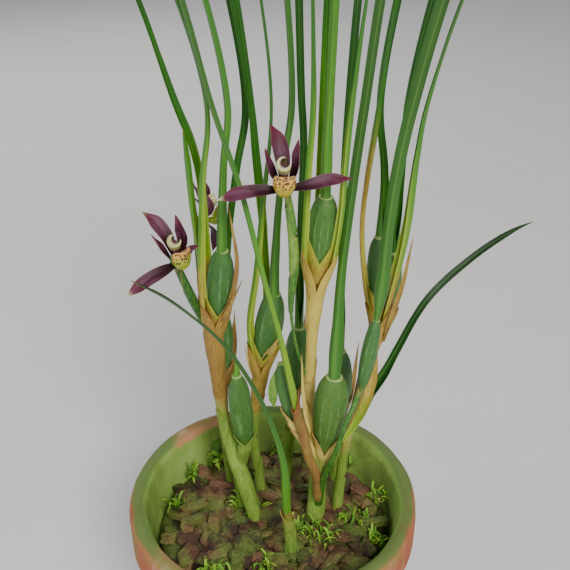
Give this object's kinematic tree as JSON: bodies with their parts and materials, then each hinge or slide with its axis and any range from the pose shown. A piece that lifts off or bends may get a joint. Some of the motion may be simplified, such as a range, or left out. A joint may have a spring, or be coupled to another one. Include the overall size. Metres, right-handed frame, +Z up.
{
  "type": "potted coconut orchid",
  "caption": "Clump-forming orchid with a climbing sheathed rhizome, ovoid bulbs, grassy arching leaves and small dark flowers, growing in a round clay pot of bark.",
  "frame": {"origin": "on the pot's axis, at the underside of its foot", "axes": "+Z up along the pot's axis, -Y towards the side that the flowers face"},
  "size_m": [0.2378, 0.1953, 0.4967],
  "materials": {
    "terracotta": "unglazed fired clay with algae and mineral bloom",
    "bark": "rough damp bark",
    "papery_sheath": "dry and fibrous",
    "bulb_skin": "finely ridged and speckled",
    "leaf_green": "satin with fine veins",
    "sheath_green": "satin",
    "tepal": "velvety with a pale sheen",
    "lip": "waxy, spotted",
    "column": "waxy",
    "flower_stalk": "satin"
  },
  "bodies": {
    "root": {"pot": "terracotta", "bark_medium": "bark", "rhizome_left": "papery_sheath", "rhizome_inner": "papery_sheath", "rhizome_middle": "papery_sheath", "rhizome_right": "papery_sheath", "rhizome_front": "papery_sheath", "rhizome_back_left": "papery_sheath", "rhizome_back_middle": "papery_sheath", "rhizome_back_right": "papery_sheath", "bulb_upper_left": "bulb_skin", "bulb_lower_left": "bulb_skin", "bulb_inner": "bulb_skin", "bulb_behind_blade": "bulb_skin", "bulb_centre": "bulb_skin", "bulb_low_middle": "bulb_skin", "bulb_right_front": "bulb_skin", "bulb_right": "bulb_skin", "bulb_right_behind": "bulb_skin", "bulb_back_left": "bulb_skin", "bulb_back_middle": "bulb_skin", "bulb_back_right": "bulb_skin", "leaf_blade": "leaf_green", "front_blade": "leaf_green", "right_blade": "leaf_green", "sheaths_upper_left": "sheath_green", "sheaths_inner": "sheath_green", "sheaths_centre": "sheath_green", "sheaths_right": "sheath_green", "tepals_centre": "tepal", "lip_centre": "lip", "column_centre": "column", "stalk_centre": "flower_stalk", "tepals_left": "tepal", "lip_left": "lip", "column_left": "column", "stalk_left": "flower_stalk", "tepals_far": "tepal", "lip_far": "lip", "column_far": "column", "stalk_far": "flower_stalk"}
  },
  "joints": []
}
